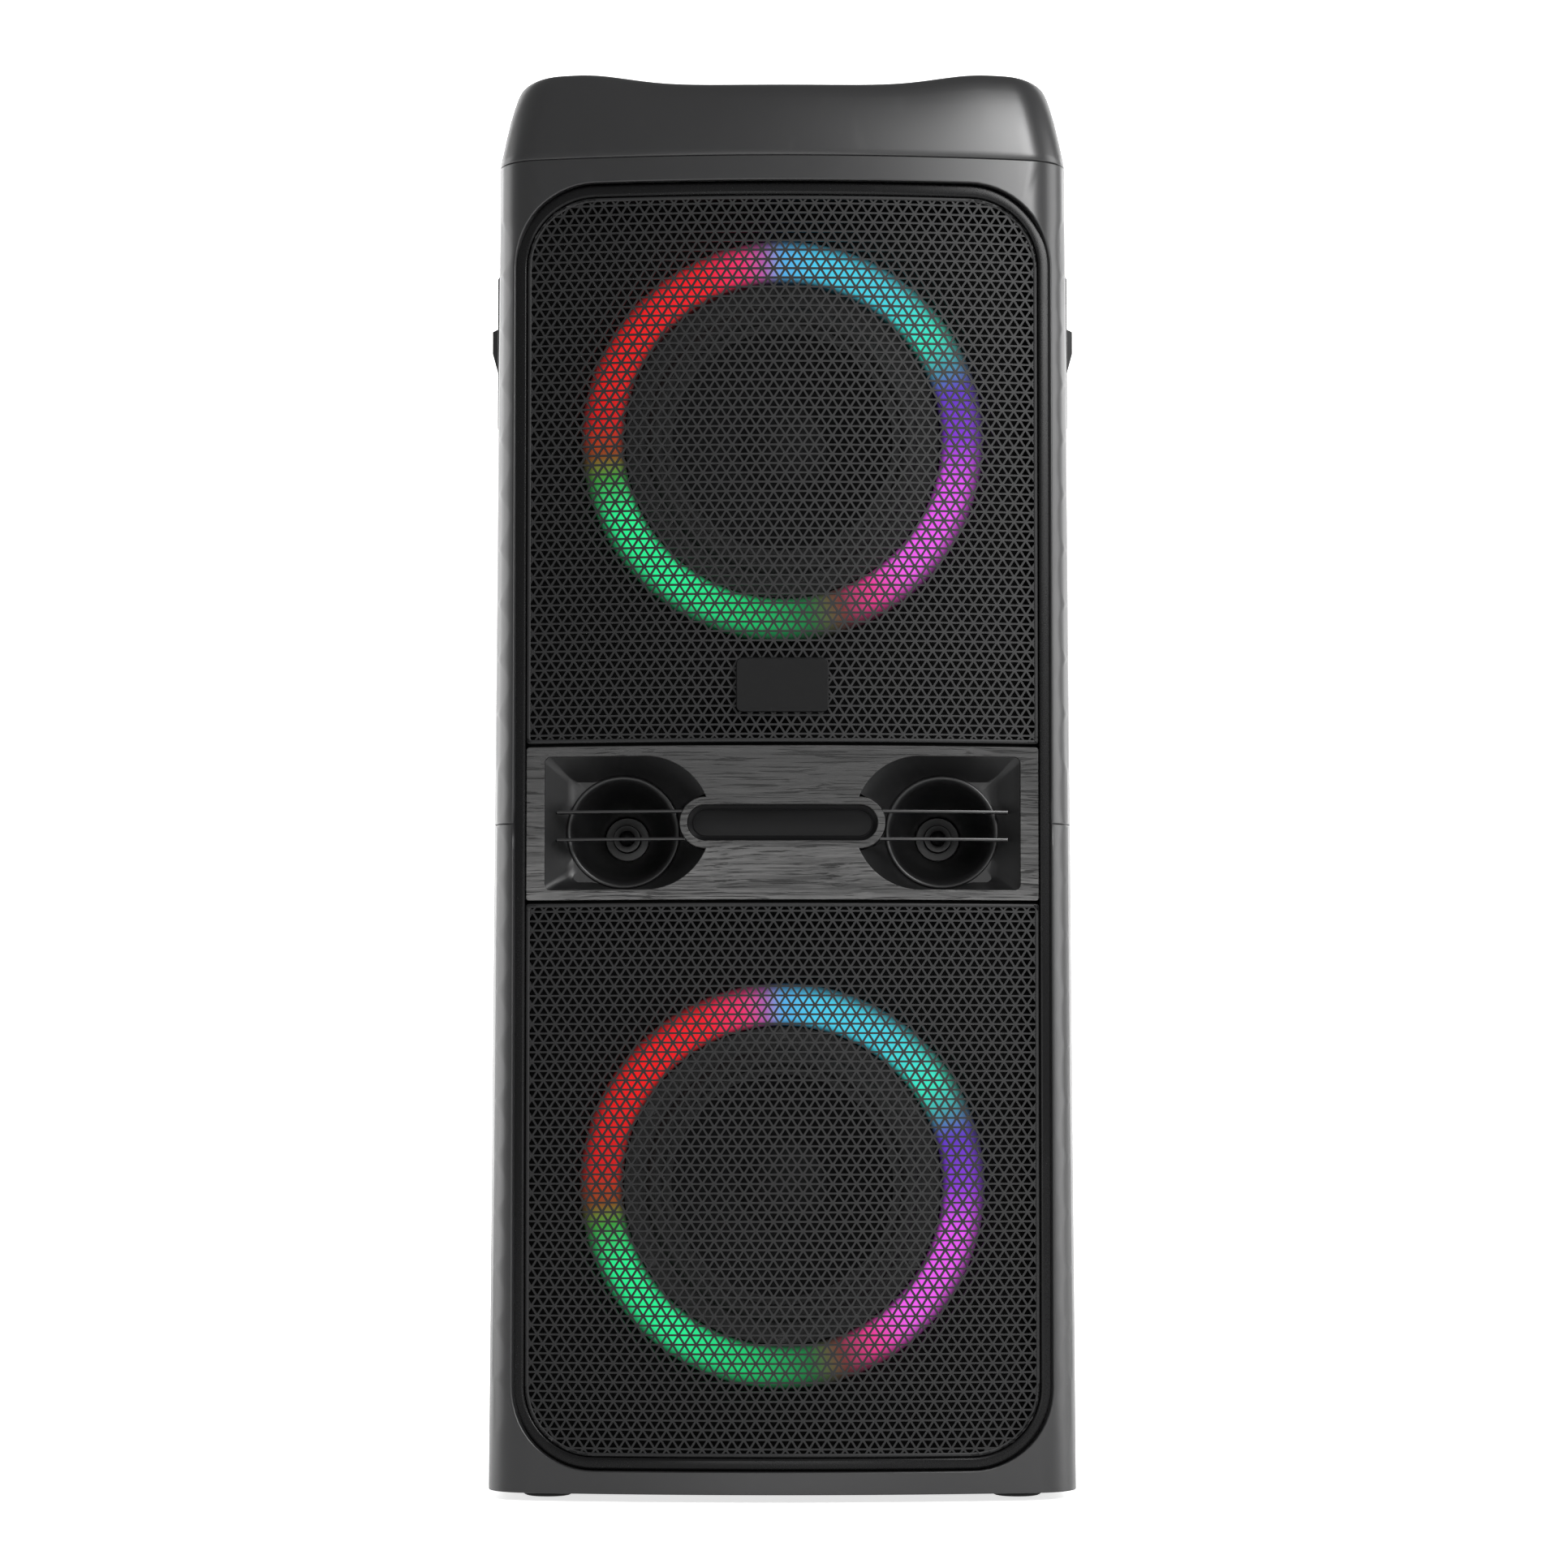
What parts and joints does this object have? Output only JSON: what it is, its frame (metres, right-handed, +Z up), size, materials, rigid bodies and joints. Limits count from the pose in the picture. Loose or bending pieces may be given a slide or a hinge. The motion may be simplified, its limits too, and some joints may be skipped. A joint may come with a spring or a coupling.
{
  "type": "party speaker",
  "caption": "Tall party loudspeaker with woofers behind curved grilles, horn tweeters beside a display, light rings, side grips and a control deck in its cap.",
  "frame": {"origin": "on the floor under the middle of the cabinet's bounding box", "axes": "+Z up, the front with its grilles faces -Y, +X is to the right when one looks at the front"},
  "size_m": [0.2898, 0.33, 0.7],
  "materials": {
    "shell": "fine satin texture",
    "gloss_black": "gloss",
    "grille_steel": "powder coat",
    "wood_trim": "wood grain film",
    "horn_black": "satin",
    "smoked_window": "smoked, glossy",
    "rubber": "matte",
    "light_diffuser": "milky diffuser",
    "circuit_board": "solder mask",
    "driver_metal": "black paint",
    "zinc_steel": "zinc plated",
    "ferrite": "sintered",
    "copper_coil": "enamelled wire",
    "woofer_paper": "pressed pulp",
    "spider_cloth": "resin dipped cloth",
    "baffle_board": "fibreboard",
    "sink_aluminium": "extruded",
    "battery_wrap": "shrink wrap",
    "screw_black": "black oxide",
    "control_plastic": "satin",
    "rocker_plastic": "gloss"
  },
  "bodies": {
    "cabinet": {"lower_shell": "shell", "upper_shell": "shell", "top_cap": "shell", "base_plate": "shell", "feet": "rubber", "bezel_frame": "gloss_black", "baffle": "baffle_board", "upper_grille": "grille_steel", "lower_grille": "grille_steel", "badge_plate": "control_plastic", "horn_panel": "wood_trim", "left_horn": "horn_black", "right_horn": "horn_black", "horn_fins": "horn_black", "left_tweeter": "driver_metal", "right_tweeter": "driver_metal", "phase_plugs": "horn_black", "display_window": "smoked_window", "display_board": "circuit_board", "upper_light_ring": "light_diffuser", "lower_light_ring": "light_diffuser", "light_boards": "circuit_board", "upper_basket": "driver_metal", "lower_basket": "driver_metal", "upper_magnet": "ferrite", "lower_magnet": "ferrite", "woofer_top_plates": "zinc_steel", "woofer_yokes": "zinc_steel", "upper_spider": "spider_cloth", "lower_spider": "spider_cloth", "upper_surround": "rubber", "lower_surround": "rubber", "woofer_screws": "screw_black", "left_handle": "control_plastic", "right_handle": "control_plastic", "control_deck": "control_plastic", "control_board": "circuit_board", "rear_panel": "control_plastic", "jack_sockets": "zinc_steel", "usb_port": "zinc_steel", "power_inlet": "horn_black", "port_tube": "horn_black", "amplifier_board": "circuit_board", "heatsink": "sink_aluminium", "power_supply": "circuit_board", "battery_pack": "battery_wrap", "case_screws": "screw_black"},
    "upper_cone_unit": {"upper_cone": "woofer_paper", "upper_dust_cap": "woofer_paper", "upper_voice_coil": "copper_coil"},
    "lower_cone_unit": {"lower_cone": "woofer_paper", "lower_dust_cap": "woofer_paper", "lower_voice_coil": "copper_coil"},
    "volume_knob": {"volume_knob": "control_plastic"},
    "mic_knob": {"mic_knob": "control_plastic"},
    "power_button": {"power_button": "control_plastic"},
    "light_button": {"light_button": "control_plastic"},
    "play_button": {"play_button": "control_plastic"},
    "bass_button": {"bass_button": "control_plastic"},
    "power_switch": {"power_switch": "rocker_plastic"}
  },
  "joints": [
    {"name": "upper_cone_travel", "type": "slide", "parent": "cabinet", "child": "upper_cone_unit", "axis": [0, -1, 0], "range_m": [-0.004, 0.004], "stiffness_N_per_m": 1600, "deforming": ["upper_surround", "upper_spider"]},
    {"name": "lower_cone_travel", "type": "slide", "parent": "cabinet", "child": "lower_cone_unit", "axis": [0, -1, 0], "range_m": [-0.004, 0.004], "stiffness_N_per_m": 1600, "deforming": ["lower_surround", "lower_spider"]},
    {"name": "volume_knob_turn", "type": "hinge", "parent": "cabinet", "child": "volume_knob", "pos_m": [0, -0.008, 0.683], "axis": [0, 0, 1], "continuous": true},
    {"name": "mic_knob_turn", "type": "hinge", "parent": "cabinet", "child": "mic_knob", "pos_m": [0, 0.052, 0.683], "axis": [0, 0, 1], "range_deg": [-140, 140]},
    {"name": "power_button_press", "type": "slide", "parent": "cabinet", "child": "power_button", "axis": [0, 0, -1], "range_m": [0, 0.001], "stiffness_N_per_m": 400, "springref_m": -0.0005},
    {"name": "light_button_press", "type": "slide", "parent": "cabinet", "child": "light_button", "axis": [0, 0, -1], "range_m": [0, 0.001], "stiffness_N_per_m": 400, "springref_m": -0.0005},
    {"name": "play_button_press", "type": "slide", "parent": "cabinet", "child": "play_button", "axis": [0, 0, -1], "range_m": [0, 0.001], "stiffness_N_per_m": 400, "springref_m": -0.0005},
    {"name": "bass_button_press", "type": "slide", "parent": "cabinet", "child": "bass_button", "axis": [0, 0, -1], "range_m": [0, 0.001], "stiffness_N_per_m": 400, "springref_m": -0.0005},
    {"name": "power_switch_rock", "type": "hinge", "parent": "cabinet", "child": "power_switch", "pos_m": [-0.049, 0.159, 0.4465], "axis": [1, 0, 0], "range_deg": [-14, 0]}
  ]
}
